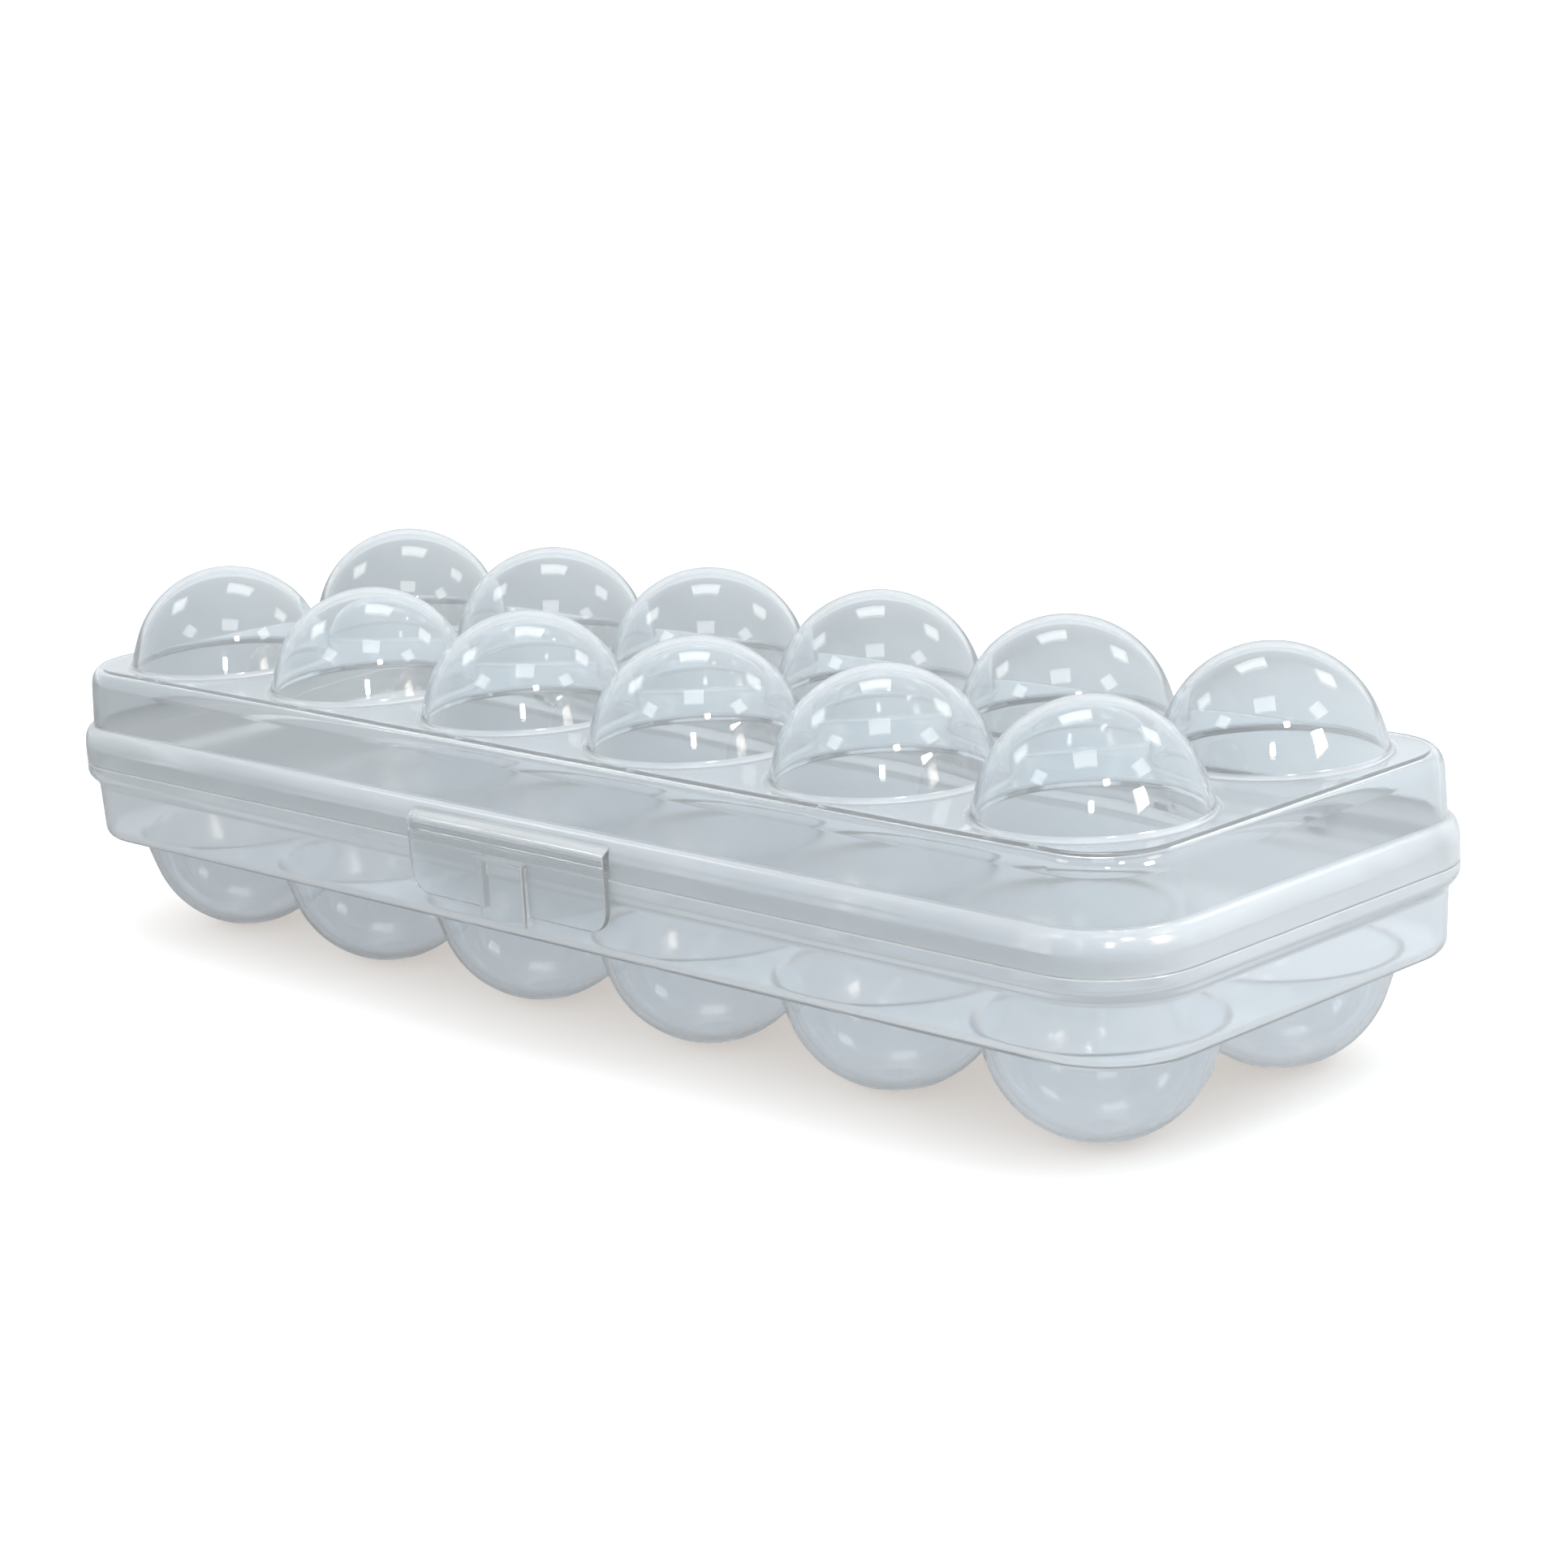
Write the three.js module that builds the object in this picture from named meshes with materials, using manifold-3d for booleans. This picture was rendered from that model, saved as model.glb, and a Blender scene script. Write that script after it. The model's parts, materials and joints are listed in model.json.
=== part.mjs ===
// Hinged box for twelve eggs: a moulded tray with hanging cups, a lid with domes and a front latch flap.
// Millimetres, +Z up. X runs along the box, the latch faces -Y, and the cups stand on z = 0.
import * as THREE from 'three';
import { mergeVertices } from 'three/addons/utils/BufferGeometryUtils.js';
import Module from 'manifold-3d';

const wasm = await Module();
wasm.setup();

// ---- Driving dimensions ----
const columns = 6; // cups along X
const rows = 2; // cups along Y
const pitchX = 50;
const pitchY = 51.5;
const endMargin = 28.4; // last cup's centre to the wall line, along X
const sideMargin = 26.65; // last cup's centre to the wall line, along Y
const cornerRadius = 17; // of the wall line
const wall = 1.2; // moulded thickness everywhere

const cupRadius = 21.6; // sphere of a cup's outside
const cupDepth = 21.6; // foot of a cup to the tray floor's underside
const footRadius = 4; // flat under each cup
const domeRadius = 21.2; // sphere of a dome's outside
const domeRise = 20.5; // lid deck to the top of a dome
const mouldDraft = 20; // degrees, the cone that joins a sphere to its deck

const trayHeight = 17.7; // tray floor's underside to the top of its rim band
const lidHeight = 20.7; // lid skirt's lower edge to the top of its deck
const seam = 0.3; // gap between the rim band and the lid's skirt
const floorFillet = 2.4; // outside radius between the tray's floor and wall
const deckFillet = 4; // outside radius between the lid's deck and wall
const wallDraft = 0.6; // how far each wall leans in between the rim and its deck

const bandProud = 2.2; // rim band beyond the wall line
const trayBandHeight = 2.6; // straight part of the tray's band
const trayBandTaper = 2.4; // slope under the tray's band
const skirtHeight = 3.8; // straight part of the lid's skirt
const shoulderHeight = 3.9; // curve from the skirt in to the lid's wall
const lipHeight = 3.2; // tray lip that stands inside the skirt
const lipClearance = 0.4;

const hingeX = 95; // centre of each hinge from the middle of the box
const hingeWidth = 40; // outside faces of a hinge's two ears
const earWidth = 4;
const knuckleRadius = 2.6;
const pinRadius = 1.5;
const pinClearance = 0.35; // pin to the hole in an ear, all round
const pinEndGap = 0.8; // pin's end short of the ear's outer face
const hingeClearance = 0.4; // between the moving and the fixed half

const flapWidth = 58;
const flapHeight = 12.45;
const flapThickness = 1.3;
const flapCorner = 5;
const flapGap = 0.4; // rim band to the flap's inner face
const creaseAboveSeam = 1.7; // fold line above the skirt's lower edge
const creaseGap = 0.3; // flap's top edge to the pad it hangs from
const padHeight = 5.4; // pad on the skirt above the fold
const padSlope = 2.6; // height of the pad's sloping top

const toothWidth = 10.6; // catch on the tray's band
const toothHeight = 2.7;
const toothReach = 1.5; // catch beyond the band
const toothDrop = 1.1; // top of the band to the top of the catch
const toothClearance = 0.4; // catch to the pocket around it
const pocketWall = 1.1; // raised sides and front of the flap's pocket
const tabDrop = 2; // how far the pocket's tab hangs below the flap

const cupSides = 20; // facets round a cup or dome
const cupArcSteps = 4; // facets down its sphere
const cornerSteps = 6; // facets round a corner of the box

// ---- Places that follow ----
const halfX = (columns - 1) / 2 * pitchX + endMargin;
const halfY = (rows - 1) / 2 * pitchY + sideMargin;
const floorZ = cupDepth;
const rimZ = floorZ + trayHeight;
const skirtZ = rimZ + seam;
const deckZ = skirtZ + lidHeight;
const bandY = halfY + bandProud;
const lipOffset = bandProud - wall - lipClearance;
const hingeY = bandY + knuckleRadius + hingeClearance;
const flapInnerY = bandY + flapGap;
const flapOuterY = flapInnerY + flapThickness;
const creaseZ = skirtZ + creaseAboveSeam;
const pocketDepth = toothReach - flapGap + toothClearance;
const tabOuterY = flapInnerY + pocketDepth + pocketWall;
const tiny = 0.5; // overlap that makes joined bodies share volume, and overshoot of a cut

// ---- Solids ----
function solid(geometry) {
  const bare = geometry.index ? geometry.toNonIndexed() : geometry.clone();
  bare.deleteAttribute('normal');
  bare.deleteAttribute('uv');
  const merged = mergeVertices(bare, 1e-4);
  const vertProperties = new Float32Array(merged.attributes.position.array);
  const triVerts = new Uint32Array(dropSlivers(merged.index.array));
  return new wasm.Manifold(new wasm.Mesh({ numProp: 3, vertProperties, triVerts }));
}

function dropSlivers(index) {
  const kept = [];
  for (let i = 0; i < index.length; i += 3) {
    const [a, b, c] = [index[i], index[i + 1], index[i + 2]];
    if (a !== b && b !== c && c !== a) kept.push(a, b, c);
  }
  return kept;
}

function join(solids) {
  return solids.reduce((sum, next) => sum.add(next));
}

function mesh(name, body, material) {
  const { vertProperties, triVerts } = body.getMesh();
  const geometry = new THREE.BufferGeometry();
  geometry.setAttribute('position', new THREE.BufferAttribute(vertProperties, 3));
  geometry.setIndex(new THREE.BufferAttribute(triVerts, 1));
  geometry.computeVertexNormals();
  const result = new THREE.Mesh(geometry, material);
  result.name = name;
  return result;
}

// A box between two corners.
function block(low, high) {
  const size = high.map((value, i) => value - low[i]);
  const box = new THREE.BoxGeometry(...size);
  box.translate(low[0] + size[0] / 2, low[1] + size[1] / 2, low[2] + size[2] / 2);
  return solid(box);
}

// A cylinder along X.
function rodX(radius, length, x, y, z) {
  const rod = new THREE.CylinderGeometry(radius, radius, length, 24);
  rod.rotateZ(Math.PI / 2);
  rod.translate(x, y, z);
  return solid(rod);
}

// Outline of the box, offset outwards from the wall line: a quarter circle at each corner.
function outline(offset) {
  const points = [];
  for (let corner = 0; corner < 4; corner++) {
    const start = corner * Math.PI / 2;
    const x = (corner === 0 || corner === 3 ? 1 : -1) * (halfX - cornerRadius);
    const y = (corner < 2 ? 1 : -1) * (halfY - cornerRadius);
    const radius = cornerRadius + offset;
    const arc = new THREE.EllipseCurve(x, y, radius, radius, start, start + Math.PI / 2);
    points.push(...arc.getPoints(cornerSteps));
  }
  return points;
}

// A closed body through outlines of the box, given from the lowest up as [offset, z].
function loft(levels) {
  const rings = levels.map(([offset, z]) => outline(offset).map((p) => new THREE.Vector3(p.x, p.y, z)));
  const n = rings[0].length;
  const index = [];
  for (let level = 0; level + 1 < rings.length; level++) {
    for (let i = 0; i < n; i++) {
      const [a, b] = [level * n + i, level * n + (i + 1) % n];
      index.push(a, b, b + n, a, b + n, a + n);
    }
  }
  const last = (rings.length - 1) * n;
  for (const [a, b, c] of THREE.ShapeUtils.triangulateShape(rings[0], [])) {
    index.push(a, c, b, last + a, last + b, last + c);
  }
  const geometry = new THREE.BufferGeometry().setFromPoints(rings.flat());
  geometry.setIndex(index);
  return solid(geometry);
}

// [offset, z] points of a quarter round between a deck at z and a wall at the given offset.
function fillet(radius, wallOffset, deckHeight, up, steps = 3) {
  const points = [];
  for (let i = 0; i <= steps; i++) {
    const angle = i / steps * Math.PI / 2;
    const inwards = radius * (1 - Math.sin(angle));
    points.push([wallOffset - inwards, deckHeight + up * radius * (1 - Math.cos(angle))]);
  }
  return points;
}

// A bowl about its own axis: a flat foot at z = 0, a sphere, then a cone out to the rim.
// inset moves every surface towards the inside of the bowl.
function bowl(radius, flatRadius, rimHeight, inset) {
  const centre = Math.sqrt(radius ** 2 - flatRadius ** 2);
  const r = radius - inset;
  const draft = THREE.MathUtils.degToRad(mouldDraft);
  const flat = Math.max(flatRadius - inset, 0.5);
  const start = Math.asin(flat / r);
  const end = Math.PI / 2 - draft;
  const profile = [new THREE.Vector2(0, centre - r * Math.cos(start))];
  for (let i = 0; i <= cupArcSteps; i++) {
    const angle = start + (end - start) * i / cupArcSteps;
    profile.push(new THREE.Vector2(r * Math.sin(angle), centre - r * Math.cos(angle)));
  }
  const coneTop = r * Math.sin(end) + (rimHeight - centre + r * Math.cos(end)) * Math.tan(draft);
  profile.push(new THREE.Vector2(coneTop, rimHeight), new THREE.Vector2(0, rimHeight));
  const geometry = new THREE.LatheGeometry(profile, cupSides);
  geometry.rotateX(Math.PI / 2);
  return solid(geometry);
}

// One body at each egg's place.
function atEachEgg(body) {
  const copies = [];
  for (let column = 0; column < columns; column++) {
    for (let row = 0; row < rows; row++) {
      const x = (column - (columns - 1) / 2) * pitchX;
      const y = (row - (rows - 1) / 2) * pitchY;
      copies.push(body.translate([x, y, 0]));
    }
  }
  return join(copies);
}

// ---- Tray ----
function trayOutside() {
  const shell = loft([
    ...fillet(floorFillet, -wallDraft, floorZ, 1),
    [0, rimZ - trayBandHeight - trayBandTaper],
    [bandProud, rimZ - trayBandHeight],
    [bandProud, rimZ],
  ]);
  const lip = loft([[lipOffset, rimZ - tiny], [lipOffset, rimZ + lipHeight]]);
  const cups = atEachEgg(bowl(cupRadius, footRadius, floorZ + tiny, 0));
  return join([shell, lip, cups]);
}

function trayInside() {
  const lipInside = lipOffset - wall;
  const space = loft([
    ...fillet(floorFillet - wall / 2, -wallDraft - wall, floorZ + wall, 1),
    [-wall, rimZ - trayBandHeight - trayBandTaper],
    [lipInside, rimZ - trayBandHeight],
    [lipInside, rimZ + lipHeight + tiny],
  ]);
  const cups = atEachEgg(bowl(cupRadius, footRadius, floorZ + wall + tiny, wall));
  return space.add(cups);
}

function catchTooth() {
  const top = rimZ - toothDrop;
  return block(
    [-toothWidth / 2, -bandY - toothReach, top - toothHeight],
    [toothWidth / 2, -bandY + bandProud / 2, top],
  );
}

function hingeEars() {
  const ears = [];
  const holes = [];
  for (const side of [-1, 1]) {
    for (const end of [-1, 1]) {
      const x = side * hingeX + end * (hingeWidth - earWidth) / 2;
      const arm = block(
        [x - earWidth / 2, bandY - bandProud / 2, rimZ - trayBandHeight],
        [x + earWidth / 2, hingeY, rimZ],
      );
      ears.push(arm.add(rodX(knuckleRadius, earWidth, x, hingeY, rimZ)));
      holes.push(rodX(pinRadius + pinClearance, earWidth + tiny, x, hingeY, rimZ));
    }
  }
  return { ears: join(ears), holes: join(holes) };
}

function trayBody() {
  const { ears, holes } = hingeEars();
  return join([trayOutside(), catchTooth(), ears]).subtract(trayInside()).subtract(holes);
}

// ---- Lid ----
// The curve from the skirt in to the wall, as [offset, z].
function shoulder(inset) {
  const steps = 3;
  const points = [];
  for (let i = 0; i <= steps; i++) {
    const angle = i / steps * Math.PI / 2;
    const offset = bandProud * Math.cos(angle) - inset;
    const rise = (shoulderHeight - inset / 2) * Math.sin(angle);
    points.push([offset, skirtZ + skirtHeight - inset / 2 + rise]);
  }
  return points;
}

function dome(rimOvershoot, inset) {
  const body = bowl(domeRadius, 0, domeRise + rimOvershoot, inset);
  return atEachEgg(body.rotate([180, 0, 0]).translate([0, 0, deckZ + domeRise]));
}

function latchPad() {
  const [low, high] = [creaseZ + creaseGap / 2, creaseZ + creaseGap / 2 + padHeight];
  const profile = new THREE.Shape();
  profile.moveTo(-halfY, low);
  profile.lineTo(-flapOuterY, low);
  profile.lineTo(-flapOuterY, high - padSlope);
  profile.lineTo(-halfY, high);
  const pad = new THREE.ExtrudeGeometry(profile, { depth: flapWidth, bevelEnabled: false });
  pad.applyMatrix4(new THREE.Matrix4().makeBasis(axisY, axisZ, axisX));
  pad.translate(-flapWidth / 2, 0, 0);
  return solid(pad);
}

function lidOutside() {
  const shell = loft([
    [bandProud, skirtZ],
    ...shoulder(0),
    ...fillet(deckFillet, -wallDraft, deckZ, -1).reverse(),
  ]);
  return join([shell, dome(tiny, 0), latchPad(), hingeWebs()]);
}

function lidInside() {
  const space = loft([
    [bandProud - wall, skirtZ - tiny],
    ...shoulder(wall),
    ...fillet(deckFillet - wall, -wallDraft - wall, deckZ - wall, -1).reverse(),
  ]);
  return space.add(dome(wall + tiny, wall));
}

function knuckleLength() {
  return hingeWidth - 2 * (earWidth + hingeClearance);
}

function hingeWebs() {
  const half = knuckleLength() / 2;
  return join([-1, 1].map((side) => block(
    [side * hingeX - half, halfY, skirtZ],
    [side * hingeX + half, hingeY, rimZ + knuckleRadius],
  )));
}

function hingeKnuckles() {
  const pinLength = hingeWidth - 2 * pinEndGap;
  return join([-1, 1].map((side) => join([
    rodX(knuckleRadius, knuckleLength(), side * hingeX, hingeY, rimZ),
    rodX(pinRadius, pinLength, side * hingeX, hingeY, rimZ),
  ])));
}

function lidBody() {
  return lidOutside().subtract(lidInside()).add(hingeKnuckles());
}

// ---- Latch flap ----
function flapPlate(top) {
  const [x, r, low] = [flapWidth / 2, flapCorner, top - flapHeight];
  const profile = new THREE.Shape();
  profile.moveTo(-x, top);
  profile.lineTo(-x, low + r);
  profile.absarc(-x + r, low + r, r, Math.PI, Math.PI * 1.5);
  profile.lineTo(x - r, low);
  profile.absarc(x - r, low + r, r, Math.PI * 1.5, Math.PI * 2);
  profile.lineTo(x, top);
  const extrusion = { depth: flapThickness, bevelEnabled: false, curveSegments: 6 };
  const plate = new THREE.ExtrudeGeometry(profile, extrusion);
  plate.rotateX(Math.PI / 2);
  plate.translate(0, -flapInnerY, 0);
  return solid(plate);
}

function flapBody() {
  const top = creaseZ - creaseGap / 2;
  const low = top - flapHeight - tabDrop;
  const pocketX = toothWidth / 2 + toothClearance;
  const pocketTop = rimZ - toothDrop + toothClearance;
  const tab = block(
    [-pocketX - pocketWall, -tabOuterY, low],
    [pocketX + pocketWall, -flapInnerY, pocketTop + pocketWall],
  );
  const pocket = block(
    [-pocketX, -flapInnerY - pocketDepth, low - tiny],
    [pocketX, -flapInnerY + tiny, pocketTop],
  );
  return flapPlate(top).add(tab).subtract(pocket);
}

// ---- Assembly ----
const axisX = new THREE.Vector3(1, 0, 0);
const axisY = new THREE.Vector3(0, 1, 0);
const axisZ = new THREE.Vector3(0, 0, 1);

const plastic = { roughness: 0.2, metalness: 0, transparent: true, opacity: 0.6 };
const clearTray = new THREE.MeshStandardMaterial({ color: '#c9d2d8', ...plastic });
const clearLid = new THREE.MeshStandardMaterial({ color: '#ced9e0', ...plastic });
const clearFlap = new THREE.MeshStandardMaterial({ color: '#d6dee3', ...plastic });

const box = new THREE.Group();
box.add(mesh('tray', trayBody(), clearTray));
box.add(mesh('lid', lidBody(), clearLid));
box.add(mesh('latch_flap', flapBody(), clearFlap));

// The origin lies under the middle of the whole box, hinges and latch included.
const rearReach = hingeY + knuckleRadius;
box.position.y = (tabOuterY - rearReach) / 2;

export default box;
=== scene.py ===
"""A clear hinged box for twelve eggs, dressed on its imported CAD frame.

Pieces: tray, lid, latch flap, and the film hinge that carries the flap on the lid.
"""

import json
import math

import bmesh
import bpy
from mathutils import Matrix, Vector


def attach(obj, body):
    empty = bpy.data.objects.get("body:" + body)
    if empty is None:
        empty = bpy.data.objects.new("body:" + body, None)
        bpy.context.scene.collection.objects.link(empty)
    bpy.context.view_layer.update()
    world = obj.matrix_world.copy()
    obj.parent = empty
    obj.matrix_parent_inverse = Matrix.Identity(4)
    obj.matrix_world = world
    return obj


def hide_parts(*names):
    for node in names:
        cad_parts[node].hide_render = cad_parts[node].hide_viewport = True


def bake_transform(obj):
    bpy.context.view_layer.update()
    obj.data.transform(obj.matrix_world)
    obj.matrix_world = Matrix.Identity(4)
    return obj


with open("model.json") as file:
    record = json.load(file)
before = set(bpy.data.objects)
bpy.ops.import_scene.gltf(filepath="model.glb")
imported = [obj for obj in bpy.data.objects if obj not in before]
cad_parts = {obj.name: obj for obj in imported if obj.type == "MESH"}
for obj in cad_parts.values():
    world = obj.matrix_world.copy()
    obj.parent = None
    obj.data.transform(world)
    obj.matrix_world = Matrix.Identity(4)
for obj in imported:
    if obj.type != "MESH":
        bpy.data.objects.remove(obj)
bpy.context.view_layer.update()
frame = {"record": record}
joints = {joint["name"]: joint for joint in frame["record"]["behaviour"]["joints"]}
mm = 0.001

# ---- Camera ----
# A long lens a little above the box, looking across its front right corner.
camera_place = (0.53431, -0.50419, 0.22213)
camera_turn = 0.7948
camera_tilt = 0.2411
camera_roll = -0.0569

camera_data = bpy.data.cameras.new("camera")
camera_data.sensor_width = 36.0
camera_data.lens = 84.6
camera_data.clip_start = 0.01
camera_data.clip_end = 100.0
camera = bpy.data.objects.new("camera", camera_data)
bpy.context.scene.collection.objects.link(camera)
level_turn = Matrix.Rotation(camera_turn, 3, "Z") @ Matrix.Rotation(math.pi / 2 - camera_tilt, 3, "X")
camera.location = camera_place
camera.rotation_euler = (level_turn @ Matrix.Rotation(camera_roll, 3, "Z")).to_euler()
bpy.context.scene.camera = camera

# ---- Floor ----
# A seamless white light table: smooth matt acrylic, lit a little from below and wide enough to be the
# whole background. Through clear plastic it shows painted shade: greyer to its left and under the box.
floor_half = 30.0
painted_shade_end, painted_light_end = -0.3, 0.1
shade_length, shade_width = 0.3, 0.16


def linear(code):
    """A colour from its sRGB hex code, in linear light."""
    parts = [int(code[i : i + 2], 16) / 255 for i in (1, 3, 5)]
    return tuple(p / 12.92 if p <= 0.04045 else ((p + 0.055) / 1.055) ** 2.4 for p in parts) + (1.0,)


def add_node(tree, kind, links=None, sockets=None, **settings):
    """Adds a node, with its settings, its sockets' values, and links from other sockets."""
    node = tree.nodes.new(kind)
    for name, value in settings.items():
        setattr(node, name, value)
    for name, value in (sockets or {}).items():
        node.inputs[name].default_value = value
    for name, source in (links or {}).items():
        tree.links.new(source, node.inputs[name])
    return node


def new_material(name):
    """An empty material, and its node tree."""
    material = bpy.data.materials.new(name)
    material.use_nodes = True
    material.node_tree.nodes.clear()
    return material, material.node_tree


# Seen straight on, an even and nearly shadowless white. Seen in or through the plastic, a glow of
# painted light and shade: paler to the right, greyer to the left and under the box, which is what gives
# the clear box its tone.
acrylic, tree = new_material("matt white light table")
board = add_node(tree, "ShaderNodeBsdfDiffuse", sockets={"Color": linear("#e0dfde")})
from_below = add_node(
    tree, "ShaderNodeEmission", sockets={"Color": linear("#fdfcfb"), "Strength": 0.22}
)
seen_straight = add_node(tree, "ShaderNodeAddShader")
tree.links.new(board.outputs[0], seen_straight.inputs[0])
tree.links.new(from_below.outputs[0], seen_straight.inputs[1])
spot = add_node(tree, "ShaderNodeTexCoord").outputs["Object"]
sides = add_node(tree, "ShaderNodeSeparateXYZ", {"Vector": spot})
# Painted light and shade: the glow seen through the plastic pales from left to right.
slope = add_node(
    tree,
    "ShaderNodeMapRange",
    {"Value": sides.outputs["X"]},
    {"From Min": painted_shade_end, "From Max": painted_light_end},
)
wash = add_node(tree, "ShaderNodeValToRGB", {"Fac": slope.outputs[0]})
wash.color_ramp.elements[0].color = linear("#a9acae")
wash.color_ramp.elements[1].color = linear("#f3f9fd")
# Painted shadow: the glow seen through the plastic dims under the box's footprint.
footprint = add_node(
    tree, "ShaderNodeMapping", {"Vector": spot}, {"Scale": (1 / shade_length, 1 / shade_width, 1.0)}
)
nearness = add_node(
    tree, "ShaderNodeTexGradient", {"Vector": footprint.outputs[0]}, gradient_type="SPHERICAL"
)
painted_shadow_under_box = add_node(
    tree,
    "ShaderNodeMapRange",
    {"Value": nearness.outputs["Fac"]},
    {"From Max": 0.65, "To Min": 1.0, "To Max": 0.6},
)
seen_through_painted_glow = add_node(
    tree, "ShaderNodeEmission", {"Color": wash.outputs[0], "Strength": painted_shadow_under_box.outputs[0]}
)
straight = add_node(tree, "ShaderNodeLightPath").outputs["Is Camera Ray"]
surface = add_node(tree, "ShaderNodeMixShader", {"Fac": straight})
tree.links.new(seen_through_painted_glow.outputs[0], surface.inputs[1])
tree.links.new(seen_straight.outputs[0], surface.inputs[2])
add_node(tree, "ShaderNodeOutputMaterial", {"Surface": surface.outputs[0]})

table = bpy.data.meshes.new("table")
corners = [(-1, -1), (1, -1), (1, 1), (-1, 1)]
table.from_pydata([(x * floor_half, y * floor_half, 0) for x, y in corners], [], [(0, 1, 2, 3)])
table.materials.append(acrylic)
table_top = bpy.data.objects.new("table", table)
bpy.context.scene.collection.objects.link(table_top)

# ---- Light ----
# A pale studio: an even glow from all round and a broad soft overhead light make the shading. Smaller
# soft boxes show only as highlights, the bright patches in the clear plastic.
scene = bpy.context.scene
scene.view_settings.view_transform = "Standard"
scene.cycles.max_bounces = 32
scene.cycles.transmission_bounces = 32
scene.cycles.transparent_max_bounces = 32
scene.cycles.caustics_reflective = False
scene.cycles.caustics_refractive = False

world = bpy.data.worlds.new("studio")
world.use_nodes = True
tree = world.node_tree
tree.nodes.clear()
bright_side = (0.8, -0.6, 0.0)
direction = add_node(tree, "ShaderNodeTexCoord").outputs["Generated"]
to_window = add_node(
    tree, "ShaderNodeVectorMath", {0: direction}, {1: bright_side}, operation="DOT_PRODUCT"
).outputs["Value"]
across = add_node(
    tree, "ShaderNodeMapRange", {"Value": to_window}, {"From Min": -0.9, "From Max": 0.8}
)
wash = add_node(tree, "ShaderNodeValToRGB", {"Fac": across.outputs[0]})
wash.color_ramp.elements[0].color = linear("#dee2e5")
wash.color_ramp.elements[1].color = linear("#dce8f0")
sky = add_node(tree, "ShaderNodeBackground", {"Color": wash.outputs[0]}, {"Strength": 1.3})
backdrop = add_node(
    tree, "ShaderNodeBackground", sockets={"Color": linear("#ffffff"), "Strength": 1.0}
)
straight = add_node(tree, "ShaderNodeLightPath").outputs["Is Camera Ray"]
seen = add_node(tree, "ShaderNodeMixShader", {"Fac": straight})
tree.links.new(sky.outputs[0], seen.inputs[1])
tree.links.new(backdrop.outputs[0], seen.inputs[2])
add_node(tree, "ShaderNodeOutputWorld", {"Surface": seen.outputs[0]})
scene.world = world

box_middle = Vector((0, 0, 0.04))


def soft_box(name, place, size, radiance, colour="#ffffff"):
    """A rectangular light at place that shows only as a highlight, turned to face the box.

    A radiance of 1 shows as plain white.
    """
    light = bpy.data.lights.new(name, "AREA")
    light.shape = "RECTANGLE"
    light.size, light.size_y = size
    light.energy = radiance * math.pi * size[0] * size[1]
    light.color = linear(colour)[:3]
    lamp = bpy.data.objects.new(name, light)
    scene.collection.objects.link(lamp)
    lamp.location = place
    lamp.rotation_euler = (Vector(place) - box_middle).to_track_quat("Z", "Y").to_euler()
    lamp.visible_diffuse = False


# Six dim panels overhead, in two rows of three, give the decks and domes their broad reflections.
panel_height, panel_size, panel_radiance = 0.7, (0.24, 0.2), 3.2
panel_start = Vector((0.25, -0.26))
panel_along, panel_across = Vector((0.5, 0.48)), Vector((-0.47, 0.48))
for along in range(-1, 2):
    for across in range(0, 2):
        spot = panel_start + panel_along * along + panel_across * across
        name = f"ceiling_panel_{along}_{across}"
        soft_box(name, (*spot, panel_height), panel_size, panel_radiance)
# Three bright ones, a metre or so off to the right, give each dome and cup its small sharp highlights.
soft_box("near_lamp", (1.0, -1.1, 0.72), (0.13, 0.13), 110)
soft_box("window", (1.2, 0.02, 0.55), (0.24, 0.22), 130, "#ffecdc")
soft_box("high_lamp", (1.0, -0.55, 1.0), (0.13, 0.13), 110, "#fff1e6")

glow = bpy.data.lights.new("glow", "SUN")
glow.energy = 2.6
glow.angle = math.radians(55)
glow_lamp = bpy.data.objects.new("glow", glow)
glow_lamp.rotation_euler = (math.radians(-16), math.radians(27), 0)
glow_lamp.visible_glossy = glow_lamp.visible_transmission = False
scene.collection.objects.link(glow_lamp)

# ---- Tray ----
# The lower half of the box: a floor with twelve cups hanging through it, leaning walls, and a rim band
# whose lip stands up inside the lid. Injection moulded in one shot from clear polypropylene.
columns, rows = 6, 2
pitch_x, pitch_y = 50 * mm, 51.5 * mm
end_margin, side_margin = 28.4 * mm, 26.65 * mm
half_x = (columns - 1) / 2 * pitch_x + end_margin
half_y = (rows - 1) / 2 * pitch_y + side_margin
corner_radius = 17 * mm
wall = 1.2 * mm
wall_draft = 0.6 * mm
mould_draft = math.radians(20)
flare_easing = math.radians(5)
band_proud = 2.2 * mm
hinge_y, rim_z = joints["lid_hinge"]["pos_m"][1:]
knuckle_radius = 2.6 * mm
hinge_clearance = 0.4 * mm
band_y = half_y + band_proud
centre_y = hinge_y - band_y - knuckle_radius - hinge_clearance
cup_radius, cup_foot = 21.6 * mm, 4 * mm
floor_z = 21.6 * mm
tray_band, tray_taper = 2.6 * mm, 2.4 * mm
lip_clearance, lip_height = 0.4 * mm, 3.2 * mm
lip_offset = band_proud - wall - lip_clearance
lip_top = rim_z + lip_height
hinge_x, hinge_width, ear_width = 95 * mm, 40 * mm, 4 * mm
pin_radius, pin_clearance = 1.5 * mm, 0.35 * mm
tooth_width, tooth_height = 10.6 * mm, 2.7 * mm
tooth_reach, tooth_drop = 1.5 * mm, 1.1 * mm
edge_round = 0.25 * mm
soften_from, crease_from = math.radians(35), math.radians(38)
corner_steps, turn_steps, rod_steps, ear_steps = 14, 64, 40, 16
arc_steps, flare_steps = 20, 8


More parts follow.
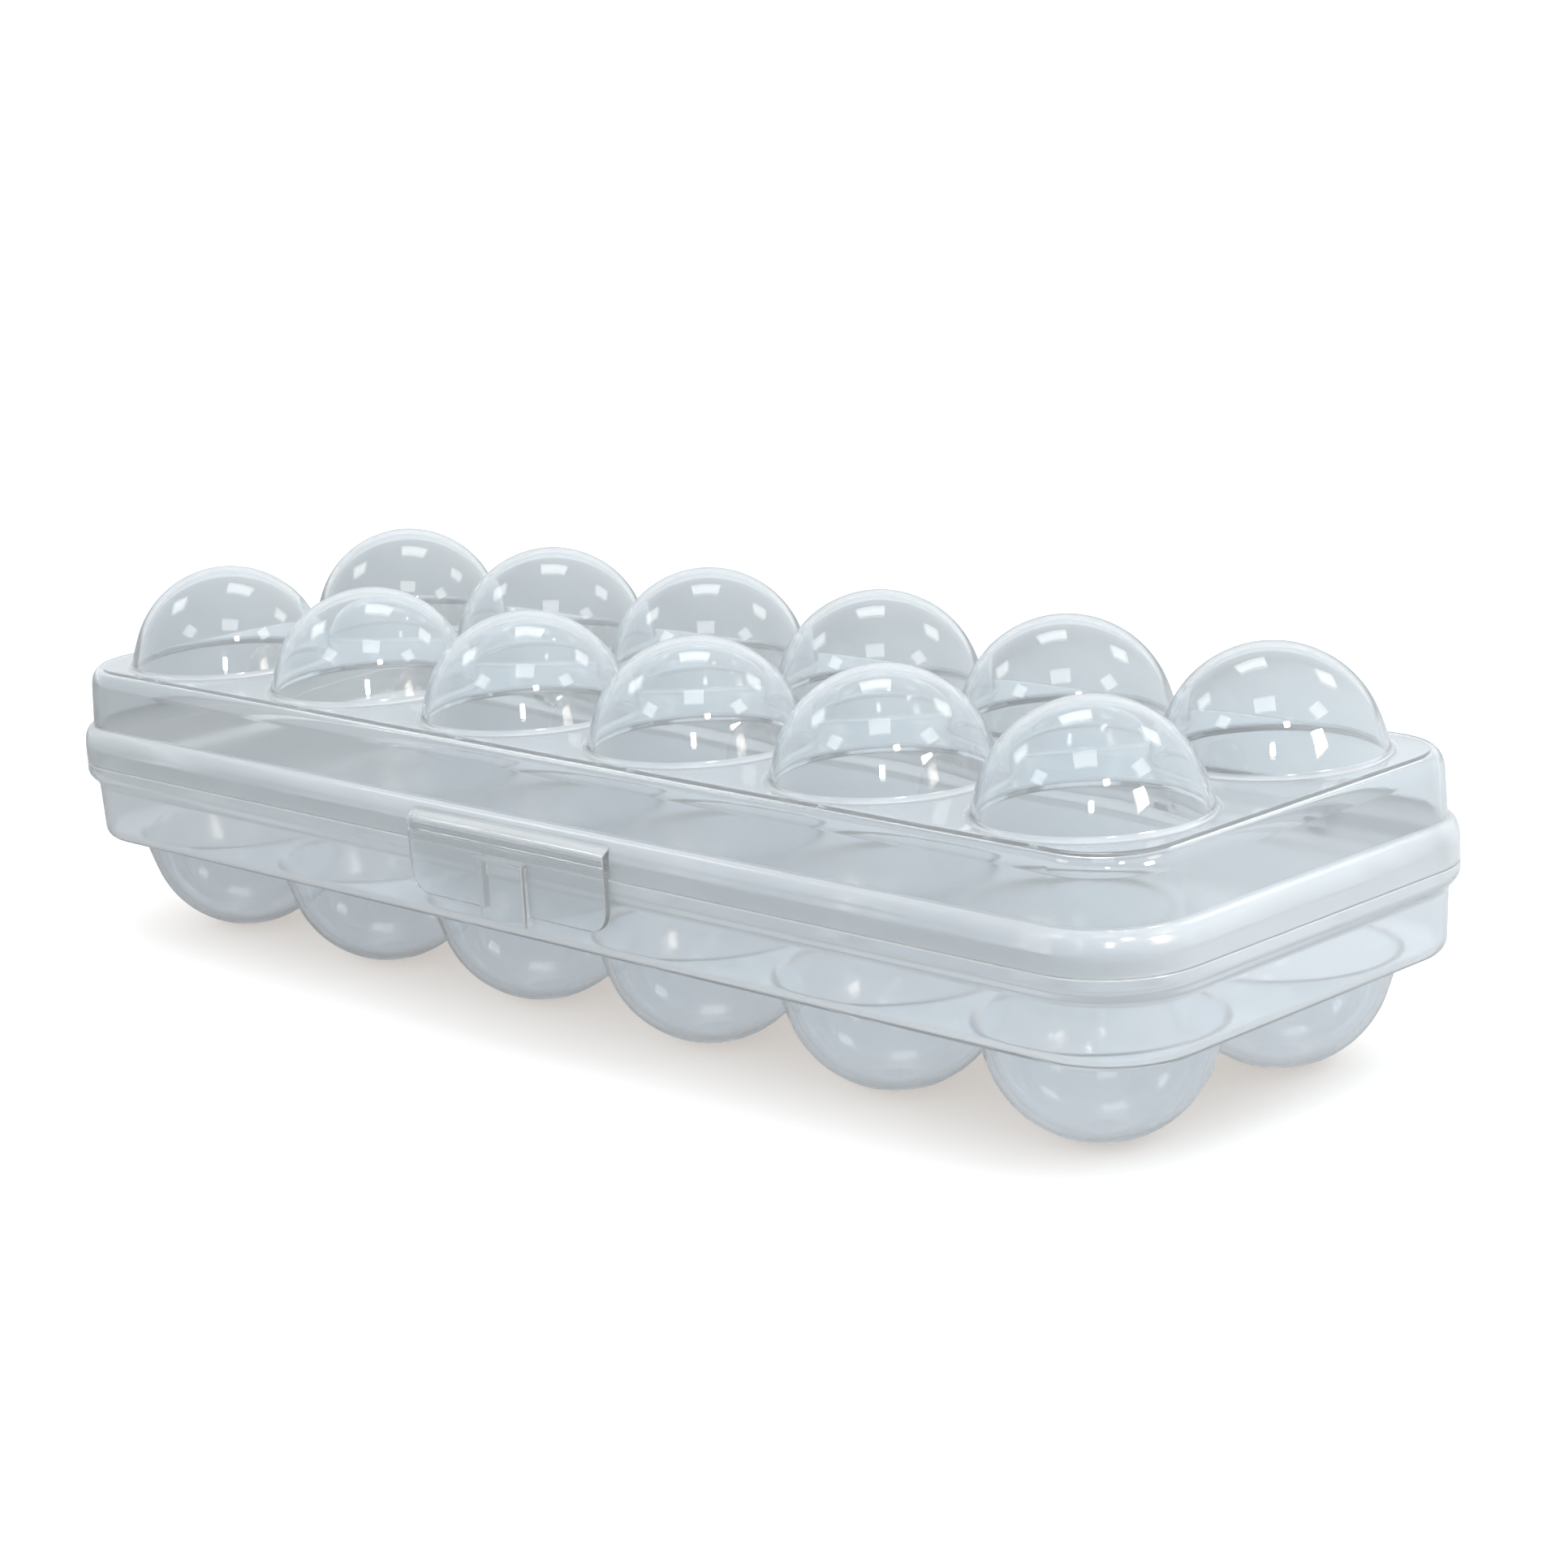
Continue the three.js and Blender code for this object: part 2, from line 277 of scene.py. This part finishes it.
def rounded(corners, hazy_up_to=0.5 * mm, hazy_zones=()):
    """A smooth path through corners given as (x, y, cut before, cut after, steps).

    The third value of each point is 1 where the plastic is hazy: on corners cut by no more than
    hazy_up_to, and on corners whose y lies in one of the hazy_zones.
    """
    path = []
    for i, (x, y, before, after, steps) in enumerate(corners):
        point = Vector((x, y, 0))
        if not steps:
            path.append(point)
            continue
        start = (Vector((*corners[i - 1][:2], 0)) - point).normalized() * before
        end = (Vector((*corners[i + 1][:2], 0)) - point).normalized() * after
        in_zone = any(low <= y <= high for low, high in hazy_zones)
        point.z = 1 if before <= hazy_up_to or in_zone else 0
        for step in range(steps + 1):
            angle = step / steps * math.pi / 2
            path.append(point + start * (1 - math.sin(angle)) + end * (1 - math.cos(angle)))
    return path


def outline(offset, z):
    """Points round the box at height z, moved out from the wall line by offset."""
    radius = corner_radius + offset
    points = []
    for corner in range(4):
        x = (half_x - corner_radius) * (1 if corner in (0, 3) else -1)
        y = (half_y - corner_radius) * (1 if corner < 2 else -1) + centre_y
        for step in range(corner_steps + 1):
            angle = (corner + step / corner_steps) * math.pi / 2
            points.append(Vector((x + radius * math.cos(angle), y + radius * math.sin(angle), z)))
    return points


def ring_points(radius, x, y, z):
    """Points round a circle, where a cup or dome meets its deck."""
    angles = [2 * math.pi * step / turn_steps for step in range(turn_steps)]
    return [Vector((x + radius * math.cos(a), y + radius * math.sin(a), z)) for a in angles]


def join_rings(bm, rings, hazy=()):
    """Faces between neighbouring rings of vertices; hazy has a mark for each ring."""
    mark = bm.faces.layers.bool.get("hazy") or bm.faces.layers.bool.new("hazy")
    for level, (low, high) in enumerate(zip(rings, rings[1:])):
        count = len(low)
        for i in range(count):
            face = bm.faces.new((low[i], low[(i + 1) % count], high[(i + 1) % count], high[i]))
            face[mark] = bool(hazy) and bool(hazy[level] and hazy[level + 1])


def egg_places():
    """Centre of each egg, as x and y."""
    return [
        ((column - (columns - 1) / 2) * pitch_x, (row - (rows - 1) / 2) * pitch_y + centre_y)
        for column in range(columns)
        for row in range(rows)
    ]


def walls_and_decks(name, path, first_ring, last_ring):
    """The wall all round the box from its 2-D path, with a deck full of holes at each end of it."""
    bm = bmesh.new()
    rings = [[bm.verts.new(point) for point in outline(p.x, p.y)] for p in path]
    join_rings(bm, rings, [p.z for p in path])
    for edge_ring, hole_radius in ((rings[0], first_ring), (rings[-1], last_ring)):
        z = edge_ring[0].co.z
        holes = [ring_points(hole_radius, x, y, z) for x, y in egg_places()]
        loops = [edge_ring] + [[bm.verts.new(p) for p in hole] for hole in holes]
        edges = []
        for loop in loops:
            for a, b in zip(loop, loop[1:] + loop[:1]):
                edges.append(bm.edges.get((a, b)) or bm.edges.new((a, b)))
        bmesh.ops.triangle_fill(bm, use_beauty=True, use_dissolve=False, edges=edges)
    shell = bpy.data.meshes.new(name)
    bm.to_mesh(shell)
    bm.free()
    return bpy.data.objects.new(name, shell)


def bowl_path(radius, foot, apex_z, rim_z, upward, edge_cut):
    """Half section of a cup or dome, as (radius, z): a foot, a sphere, a flare and a rounded rim.

    Upward is 1 for a cup, whose rim is above its foot, and -1 for a dome.
    """
    centre = math.sqrt(radius**2 - foot**2)
    start, end = math.asin(foot / radius), math.pi / 2 - mould_draft
    path = []
    for step in range(arc_steps + 1):
        angle = start + (end - start) * step / arc_steps
        z = apex_z + upward * (centre - radius * math.cos(angle))
        path.append(Vector((radius * math.sin(angle), z, 0)))
    flare_step = (rim_z - path[-1].y) / flare_steps
    for step in range(flare_steps):
        slope = mould_draft - flare_easing * (step + 0.5) / flare_steps
        path.append(path[-1] + Vector((abs(flare_step) * math.tan(slope), flare_step, 0)))
    rim_x = path.pop().x
    corners = [
        (*path[-1][:2], 0, 0, 0),
        (rim_x, rim_z, edge_cut, edge_cut, 6),
        (rim_x + wall, rim_z, 0, 0, 0),
    ]
    return path[:-1] + rounded(corners, edge_cut)[:-1]


def bowl(name, outer_path, inner_path):
    """One cup or dome about the origin: its outer and inner surface, open at the rim."""
    on_axis = 1e-6
    bm = bmesh.new()
    for path in (outer_path, inner_path):
        # A dome's path starts on the axis, where there is no ring, only the tip.
        steps = [point for point in path if point.x > on_axis]
        rings = [[bm.verts.new(p) for p in ring_points(point.x, 0, 0, point.y)] for point in steps]
        join_rings(bm, rings, [point.z for point in steps])
        tip = bm.verts.new((0, 0, path[0].y))
        for a, b in zip(rings[0], rings[0][1:] + rings[0][:1]):
            bm.faces.new((a, b, tip))
    shell = bpy.data.meshes.new(name)
    bm.to_mesh(shell)
    bm.free()
    return bpy.data.objects.new(name, shell)


def egg_grid_tree():
    """Geometry Nodes tree: a bowl at each egg's place, welded into the decks, in two materials."""
    tree = bpy.data.node_groups.new("bowls_in_rows", "GeometryNodeTree")
    sockets = [
        ("Decks", "NodeSocketGeometry"),
        ("Bowl", "NodeSocketObject"),
        ("Columns", "NodeSocketInt"),
        ("Rows", "NodeSocketInt"),
        ("Length", "NodeSocketFloat"),
        ("Depth", "NodeSocketFloat"),
        ("Centre Y", "NodeSocketFloat"),
        ("Material", "NodeSocketMaterial"),
        ("Edge Material", "NodeSocketMaterial"),
    ]
    weld_gap = 0.01 * mm
    for name, kind in sockets:
        tree.interface.new_socket(name, in_out="INPUT", socket_type=kind)
    tree.interface.new_socket("Shell", in_out="OUTPUT", socket_type="NodeSocketGeometry")
    given = add_node(tree, "NodeGroupInput").outputs
    sizes = {"Vertices X": given["Columns"], "Vertices Y": given["Rows"], "Size X": given["Length"]}
    places = add_node(tree, "GeometryNodeMeshGrid", {**sizes, "Size Y": given["Depth"]})
    shift = add_node(tree, "ShaderNodeCombineXYZ", {"Y": given["Centre Y"]})
    moved = add_node(
        tree,
        "GeometryNodeSetPosition",
        {"Geometry": places.outputs["Mesh"], "Offset": shift.outputs[0]},
    )
    item = add_node(tree, "GeometryNodeObjectInfo", {"Object": given["Bowl"]}, {"As Instance": True})
    copies = add_node(
        tree,
        "GeometryNodeInstanceOnPoints",
        {"Points": moved.outputs[0], "Instance": item.outputs["Geometry"]},
    )
    both = add_node(tree, "GeometryNodeJoinGeometry", {"Geometry": copies.outputs[0]})
    tree.links.new(given["Decks"], both.inputs["Geometry"])
    real = add_node(tree, "GeometryNodeRealizeInstances", {"Geometry": both.outputs[0]})
    weld = add_node(
        tree, "GeometryNodeMergeByDistance", {"Geometry": real.outputs[0]}, {"Distance": weld_gap}
    )
    dressed = add_node(
        tree,
        "GeometryNodeSetMaterial",
        {"Geometry": weld.outputs[0], "Material": given["Material"]},
    )
    hazy = add_node(
        tree, "GeometryNodeInputNamedAttribute", sockets={"Name": "hazy"}, data_type="BOOLEAN"
    )
    edge_choice = {"Selection": hazy.outputs[0], "Material": given["Edge Material"]}
    edged = add_node(
        tree, "GeometryNodeSetMaterial", {"Geometry": dressed.outputs[0], **edge_choice}
    )
    add_node(tree, "NodeGroupOutput", {"Shell": edged.outputs[0]})
    return tree


egg_grid = egg_grid_tree()


def plain_mesh(thing, name):
    """A new object of the shape that the modifiers give the old one, which is removed."""
    bpy.context.view_layer.update()
    seen = thing.evaluated_get(bpy.context.evaluated_depsgraph_get())
    shape = bpy.data.meshes.new_from_object(seen)
    bpy.data.objects.remove(thing)
    shape.name = name
    result = bpy.data.objects.new(name, shape)
    scene.collection.objects.link(result)
    return result


def whole_shell(name, decks, one_bowl, material, edge_material):
    """The decks with a bowl at each egg's place, as one closed shell whose faces point outwards."""
    scene.collection.objects.link(decks)
    scene.collection.objects.link(one_bowl)
    bowls = decks.modifiers.new("bowls", "NODES")
    bowls.node_group = egg_grid
    values = {
        "Bowl": one_bowl,
        "Columns": columns,
        "Rows": rows,
        "Length": (columns - 1) * pitch_x,
        "Depth": (rows - 1) * pitch_y,
        "Centre Y": centre_y,
        "Material": material,
        "Edge Material": edge_material,
    }
    for socket in egg_grid.interface.items_tree:
        if socket.name in values:
            bowls[socket.identifier] = values[socket.name]
    shell = plain_mesh(decks, name)
    bpy.data.objects.remove(one_bowl)
    slots = list(shell.data.materials)
    edges = [int(slots[face.material_index] == edge_material) for face in shell.data.polygons]
    shell.data.materials.clear()
    shell.data.materials.append(material)
    shell.data.materials.append(edge_material)
    shell.data.polygons.foreach_set("material_index", edges)
    bm = bmesh.new()
    bm.from_mesh(shell.data)
    bmesh.ops.recalc_face_normals(bm, faces=bm.faces)
    bm.to_mesh(shell.data)
    bm.free()
    return shell


def prism(name, section, along, softness=edge_round):
    """A closed solid: a flat section of 3-D points pushed along a vector, its sharp edges softened.

    The faces made by softening take the second material.
    """
    bm = bmesh.new()
    near = [bm.verts.new(p) for p in section]
    far = [bm.verts.new(Vector(p) + Vector(along)) for p in section]
    bm.faces.new(near)
    bm.faces.new(far[::-1])
    join_rings(bm, [near, far])
    bmesh.ops.recalc_face_normals(bm, faces=bm.faces)
    if softness:
        sharp = [edge for edge in bm.edges if edge.calc_face_angle() > soften_from]
        bmesh.ops.bevel(
            bm,
            geom=sharp,
            offset=softness,
            segments=2,
            profile=0.5,
            affect="EDGES",
            clamp_overlap=True,
        )
        for face in bm.faces:
            longest = max(edge.calc_length() for edge in face.edges)
            narrow = face.calc_area() < 1.5 * softness * longest
            face.material_index = int(narrow)
    shape = bpy.data.meshes.new(name)
    bm.to_mesh(shape)
    bm.free()
    return bpy.data.objects.new(name, shape)


def block(name, low, high, softness=edge_round):
    """A box between two corners, with softened edges."""
    around = [(low[1], low[2]), (high[1], low[2]), (high[1], high[2]), (low[1], high[2])]
    return prism(name, [(low[0], y, z) for y, z in around], (high[0] - low[0], 0, 0), softness)


def rod(name, radius, length, x, y, z, softness=edge_round):
    """A cylinder along X about a point."""
    angles = [2 * math.pi * step / rod_steps for step in range(rod_steps)]
    near_x = x - length / 2
    section = [(near_x, y + radius * math.cos(a), z + radius * math.sin(a)) for a in angles]
    return prism(name, section, (length, 0, 0), softness)


def combine(body, others, operation):
    """The body with each of the others joined on or cut away."""
    name = body.name
    for other in others:
        scene.collection.objects.link(other)
        for material in body.data.materials:
            other.data.materials.append(material)
        step = body.modifiers.new("step", "BOOLEAN")
        step.operation = operation
        step.solver = "MANIFOLD"
        step.object = other
    result = plain_mesh(body, name)
    for other in others:
        bpy.data.objects.remove(other)
    return result


def finish_piece(piece, body, node):
    """Smooth shading with true edges, and the piece's body and CAD node."""
    piece.data.shade_smooth()
    piece.data.set_sharp_from_angle(angle=crease_from)
    even = piece.modifiers.new("even", "WEIGHTED_NORMAL")
    even.keep_sharp = True
    piece = plain_mesh(piece, piece.name)
    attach(piece, body)
    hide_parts(node)


def clear_plastic(name, colour, haze, gloss_range, frost=(0.0, 1.0, 0.0)):
    """Moulded polypropylene: a cool see-through skin, milky by its haze, with a soft uneven gloss.

    Frost, as (full below, none above, added roughness), dulls the skin towards the bottom. Shallow
    ripples bend what shows through, and a sheen pales the plastic where it is seen on edge.
    """
    # The melt leaves about three small ripples in 50 mm, and seven broad ones in 250 mm.
    flow_size, warp_size = 50 / 3 * mm, 250 / 7 * mm
    material, tree = new_material(name)
    place = add_node(tree, "ShaderNodeTexCoord").outputs["Object"]
    flow = add_node(
        tree,
        "ShaderNodeTexNoise",
        {"Vector": place},
        {"Scale": 1 / flow_size, "Detail": 3.0, "Roughness": 0.5},
    )
    gloss = add_node(
        tree,
        "ShaderNodeMapRange",
        {"Value": flow.outputs["Fac"]},
        {"To Min": gloss_range[0], "To Max": gloss_range[1]},
    )
    height = add_node(tree, "ShaderNodeSeparateXYZ", {"Vector": place}).outputs["Z"]
    frosting = add_node(
        tree,
        "ShaderNodeMapRange",
        {"Value": height},
        {"From Min": frost[0], "From Max": frost[1], "To Min": frost[2], "To Max": 0.0},
        interpolation_type="SMOOTHSTEP",
    )
    rough = add_node(
        tree, "ShaderNodeMath", {0: gloss.outputs[0], 1: frosting.outputs[0]}, operation="ADD"
    )
    bump = add_node(
        tree,
        "ShaderNodeBump",
        {"Height": flow.outputs["Fac"]},
        {"Strength": 0.05, "Distance": 0.3 * mm},
    )
    warp = add_node(
        tree,
        "ShaderNodeTexNoise",
        {"Vector": place},
        {"Scale": 1 / warp_size, "Detail": 1.0, "Roughness": 0.4},
    )
    bump = add_node(
        tree,
        "ShaderNodeBump",
        {"Height": warp.outputs["Fac"], "Normal": bump.outputs[0]},
        {"Strength": 0.3, "Distance": 0.5 * mm},
    )
    skin = add_node(
        tree,
        "ShaderNodeBsdfPrincipled",
        {"Roughness": rough.outputs[0], "Normal": bump.outputs[0]},
        {
            "Base Color": linear(colour),
            "IOR": 1.49,
            "Transmission Weight": 1 - haze,
            "Sheen Weight": 0.3,
            "Sheen Roughness": 0.3,
            "Sheen Tint": linear("#f2f6fa"),
        },
    )
    passing = add_node(tree, "ShaderNodeBsdfTransparent", sockets={"Color": linear("#fcfaf8")})
    ray = add_node(tree, "ShaderNodeLightPath")
    both = add_node(tree, "ShaderNodeMixShader", {"Fac": ray.outputs["Is Shadow Ray"]})
    tree.links.new(skin.outputs[0], both.inputs[1])
    tree.links.new(passing.outputs[0], both.inputs[2])
    add_node(tree, "ShaderNodeOutputMaterial", {"Surface": both.outputs[0]})
    return material


# Clear above, so that lamps and floor show through the cups; satin at the bottom, where they soften.
tray_plastic = clear_plastic(
    "clear moulded polypropylene tray", "#f5f8fb", 0.05, (0.01, 0.04), (0, 8 * mm, 0.18)
)
# A satin, milkier finish on the rim bands and the tight corners, which turns them into pale lines.
edge_plastic = clear_plastic("hazy moulded polypropylene edge", "#f5f8fa", 0.3, (0.08, 0.16))
lip_inside = lip_offset - wall
# The first and last corners only lead the path in and out, and are left off it.
lead_in = -10 * mm
tray_path = rounded(
    [
        (lead_in, floor_z + wall, 0, 0, 0),
        (-wall_draft - wall, floor_z + wall, 1.7 * mm, 1.7 * mm, 6),
        (-wall, rim_z - tray_band - tray_taper, 0.6 * mm, 0.6 * mm, 3),
        (lip_inside, rim_z - tray_band, 0.6 * mm, 0.6 * mm, 3),
        (lip_inside, lip_top, 0.4 * mm, 0.4 * mm, 3),
        (lip_offset, lip_top, 0.4 * mm, 0.4 * mm, 3),
        (lip_offset, rim_z, 0.2 * mm, 0.2 * mm, 2),
        (band_proud, rim_z, 0.35 * mm, 0.35 * mm, 3),
        (band_proud, rim_z - tray_band, 0.8 * mm, 0.8 * mm, 4),
        (0, rim_z - tray_band - tray_taper, 0.8 * mm, 0.8 * mm, 4),
        (-wall_draft, floor_z, 2.4 * mm, 2.4 * mm, 8),
        (lead_in, floor_z, 0, 0, 0),
    ],
    hazy_zones=[
        (floor_z - wall, floor_z + wall / 2),
        (rim_z - tray_band - tray_taper, lip_top),
    ],
)[1:-1]
cup_outer = bowl_path(cup_radius, cup_foot, 0, floor_z, 1, 0.4 * mm)
cup_inner = bowl_path(cup_radius - wall, cup_foot - wall, wall, floor_z + wall, 1, 0.6 * mm)
tray_decks = walls_and_decks("tray_decks", tray_path, cup_inner[-1].x, cup_outer[-1].x)
cup = bowl("cup", cup_outer, cup_inner)
tray = whole_shell("tray_shell", tray_decks, cup, tray_plastic, edge_plastic)

tooth_top = rim_z - tooth_drop
front = centre_y - band_y
catch = block(
    "catch",
    (-tooth_width / 2, front - tooth_reach, tooth_top - tooth_height),
    (tooth_width / 2, front + wall / 2, tooth_top),
    0.4 * mm,
)
root, neck = centre_y + band_y - wall / 2, hinge_y - knuckle_radius * 0.95
turns = [math.pi / 2 - math.pi * step / ear_steps for step in range(ear_steps + 1)]
arm = [(root, rim_z - tray_band), (root, rim_z), (neck, rim_z)]
arm += [(hinge_y + knuckle_radius * math.cos(a), rim_z + knuckle_radius * math.sin(a)) for a in turns]
hole_radius = pin_radius + pin_clearance
ears, ear_holes = [], []
for side in (-1, 1):
    for end in (-1, 1):
        x = side * hinge_x + end * (hinge_width - ear_width) / 2
        ears.append(prism("ear", [(x - ear_width / 2, y, z) for y, z in arm], (ear_width, 0, 0)))
        ear_holes.append(rod("ear_hole", hole_radius, ear_width * 2, x, hinge_y, rim_z, 0))
tray = combine(tray, [catch] + ears, "UNION")
tray = combine(tray, ear_holes, "DIFFERENCE")
finish_piece(tray, "tray", "tray")

# ---- Lid ----
# The upper half: a skirt that meets the tray's band, a rounded shoulder, and a deck with twelve domes.
# Moulded like the tray, from the same clear polypropylene. A pad on its skirt carries the latch flap.

# Glossy domes over a slightly satin skirt, just milky enough to part the lid from what is under it.
lid_plastic = clear_plastic(
    "clear moulded polypropylene lid", "#f4f8fa", 0.12, (0.01, 0.03), (50 * mm, 60 * mm, 0.1)
)
seam = 0.12 * mm
skirt_z = rim_z + seam
deck_z = rim_z + 21 * mm
skirt_height, shoulder_height = 3.98 * mm, 3.9 * mm
dome_radius, dome_rise = 21.2 * mm, 20.49 * mm
shoulder_z = skirt_z + skirt_height + shoulder_height
lid_path = rounded(
    [
        (lead_in, deck_z - wall, 0, 0, 0),
        (-wall_draft - wall, deck_z - wall, 1.5 * mm, 2.8 * mm, 6),
        (-wall, shoulder_z - wall / 2, 0.5 * mm, 0.5 * mm, 3),
        (band_proud - wall, shoulder_z - wall, 2.1 * mm, 3.6 * mm, 8),
        (band_proud - wall, skirt_z, edge_round, edge_round, 3),
        (band_proud, skirt_z, edge_round, edge_round, 3),
        (band_proud, shoulder_z, 3.9 * mm, 2.1 * mm, 10),
        (0, shoulder_z, 0.1 * mm, 0.5 * mm, 3),
        (-wall_draft, deck_z, 4.0 * mm, 2.6 * mm, 10),
        (lead_in, deck_z, 0, 0, 0),
    ],
    hazy_zones=[(skirt_z, shoulder_z)],
)[1:-1]
dome_top = deck_z + dome_rise
dome_outer = bowl_path(dome_radius, 0, dome_top, deck_z, -1, 0.9 * mm)
dome_inner = bowl_path(dome_radius - wall, 0, dome_top - wall, deck_z - wall, -1, 0.6 * mm)
lid_decks = walls_and_decks("lid_decks", lid_path, dome_inner[-1].x, dome_outer[-1].x)
dome = bowl("dome", dome_outer, dome_inner)
lid = whole_shell("lid_shell", lid_decks, dome, lid_plastic, edge_plastic)

flap_width, flap_height, flap_thickness = 58 * mm, 12.45 * mm, 1.3 * mm
crease_z = joints["flap_fold"]["pos_m"][2]
crease_gap, flap_gap = 0.3 * mm, 0.4 * mm
flap_inner = centre_y - band_y - flap_gap
flap_outer = flap_inner - flap_thickness
pad_height, pad_slope, pad_standoff = 5.4 * mm, 2.6 * mm, 0.7 * mm
pad_low = crease_z + crease_gap / 2
pad_high = pad_low + pad_height
pad_root = centre_y - half_y - pad_standoff
pad = prism(
    "pad",
    [
        (-flap_width / 2, pad_root, pad_low),
        (-flap_width / 2, flap_outer, pad_low),
        (-flap_width / 2, flap_outer, pad_high - pad_slope),
        (-flap_width / 2, pad_root, pad_high),
    ],
    (flap_width, 0, 0),
    0.3 * mm,
)
knuckle_length = hinge_width - 2 * (ear_width + hinge_clearance)
pin_length = hinge_width - 1.6 * mm
joined_on = [pad]
for side in (-1, 1):
    x = side * hinge_x
    web_low = (x - knuckle_length / 2, root, skirt_z)
    web_high = (x + knuckle_length / 2, hinge_y, rim_z + knuckle_radius)
    joined_on.append(block("web", web_low, web_high))
    joined_on.append(rod("knuckle", knuckle_radius, knuckle_length, x, hinge_y, rim_z))
    joined_on.append(rod("pin", pin_radius, pin_length, x, hinge_y, rim_z))
lid = combine(lid, joined_on, "UNION")
finish_piece(lid, "lid", "lid")

# ---- Latch flap ----
# A thin rounded plate that hangs from the lid's pad and snaps over the tray's catch with the raised
# pocket at its middle. Moulded with the lid from the same clear polypropylene.

# Milkier and more satin than the rest, so that it stands out as a plate in front of the skirt.
flap_plastic = clear_plastic("clear moulded polypropylene flap", "#f4f8fa", 0.24, (0.05, 0.1))
flap_corner = 5 * mm
flap_top = crease_z - crease_gap / 2
flap_low = flap_top - flap_height
tooth_clearance, pocket_wall, tab_drop = 0.4 * mm, 1.1 * mm, 2 * mm
pocket_depth = tooth_reach - flap_gap + tooth_clearance
cut_past = 1 * mm
left, right = -flap_width / 2, flap_width / 2
shape = rounded(
    [
        (left, flap_top, 0, 0, 0),
        (left, flap_low, flap_corner, flap_corner, 10),
        (right, flap_low, flap_corner, flap_corner, 10),
        (right, flap_top, 0, 0, 0),
    ]
)
section = [(p.x, flap_inner, p.y) for p in shape]
plate = prism("latch_flap_plate", section, (0, -flap_thickness, 0), 0.2 * mm)
scene.collection.objects.link(plate)
plate.data.materials.append(flap_plastic)
plate.data.materials.append(edge_plastic)
pocket_half = tooth_width / 2 + tooth_clearance
pocket_top = rim_z - tooth_drop + tooth_clearance
tab = block(
    "tab",
    (-pocket_half - pocket_wall, flap_inner - pocket_depth - pocket_wall, flap_low - tab_drop),
    (pocket_half + pocket_wall, flap_inner, pocket_top + pocket_wall),
    0.3 * mm,
)
pocket = block(
    "pocket",
    (-pocket_half, flap_inner - pocket_depth, flap_low - tab_drop - cut_past),
    (pocket_half, flap_inner + cut_past, pocket_top),
    0,
)
flap = combine(plate, [tab], "UNION")
flap = combine(flap, [pocket], "DIFFERENCE")
finish_piece(flap, "latch_flap", "latch_flap")

# ---- Film hinge ----
# The crease between the lid's pad and the flap: the same clear polypropylene, moulded down to a film in
# the same shot, so that it bends again and again without tearing.
film_thickness, film_bend, film_steps = 0.35 * mm, crease_gap + 0.2 * mm, 8
levels = [crease_z + film_bend * (step / film_steps - 0.5) for step in range(film_steps + 1)]
section = [(left, flap_outer, z) for z in levels]
section += [(left, flap_outer + film_thickness, z) for z in reversed(levels)]
film = prism("film_hinge", section, (flap_width, 0, 0), 0)
scene.collection.objects.link(film)
film.data.materials.append(flap_plastic)
film.data.shade_smooth()
film.data.set_sharp_from_angle(angle=crease_from)
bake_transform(film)

bpy.context.view_layer.update()
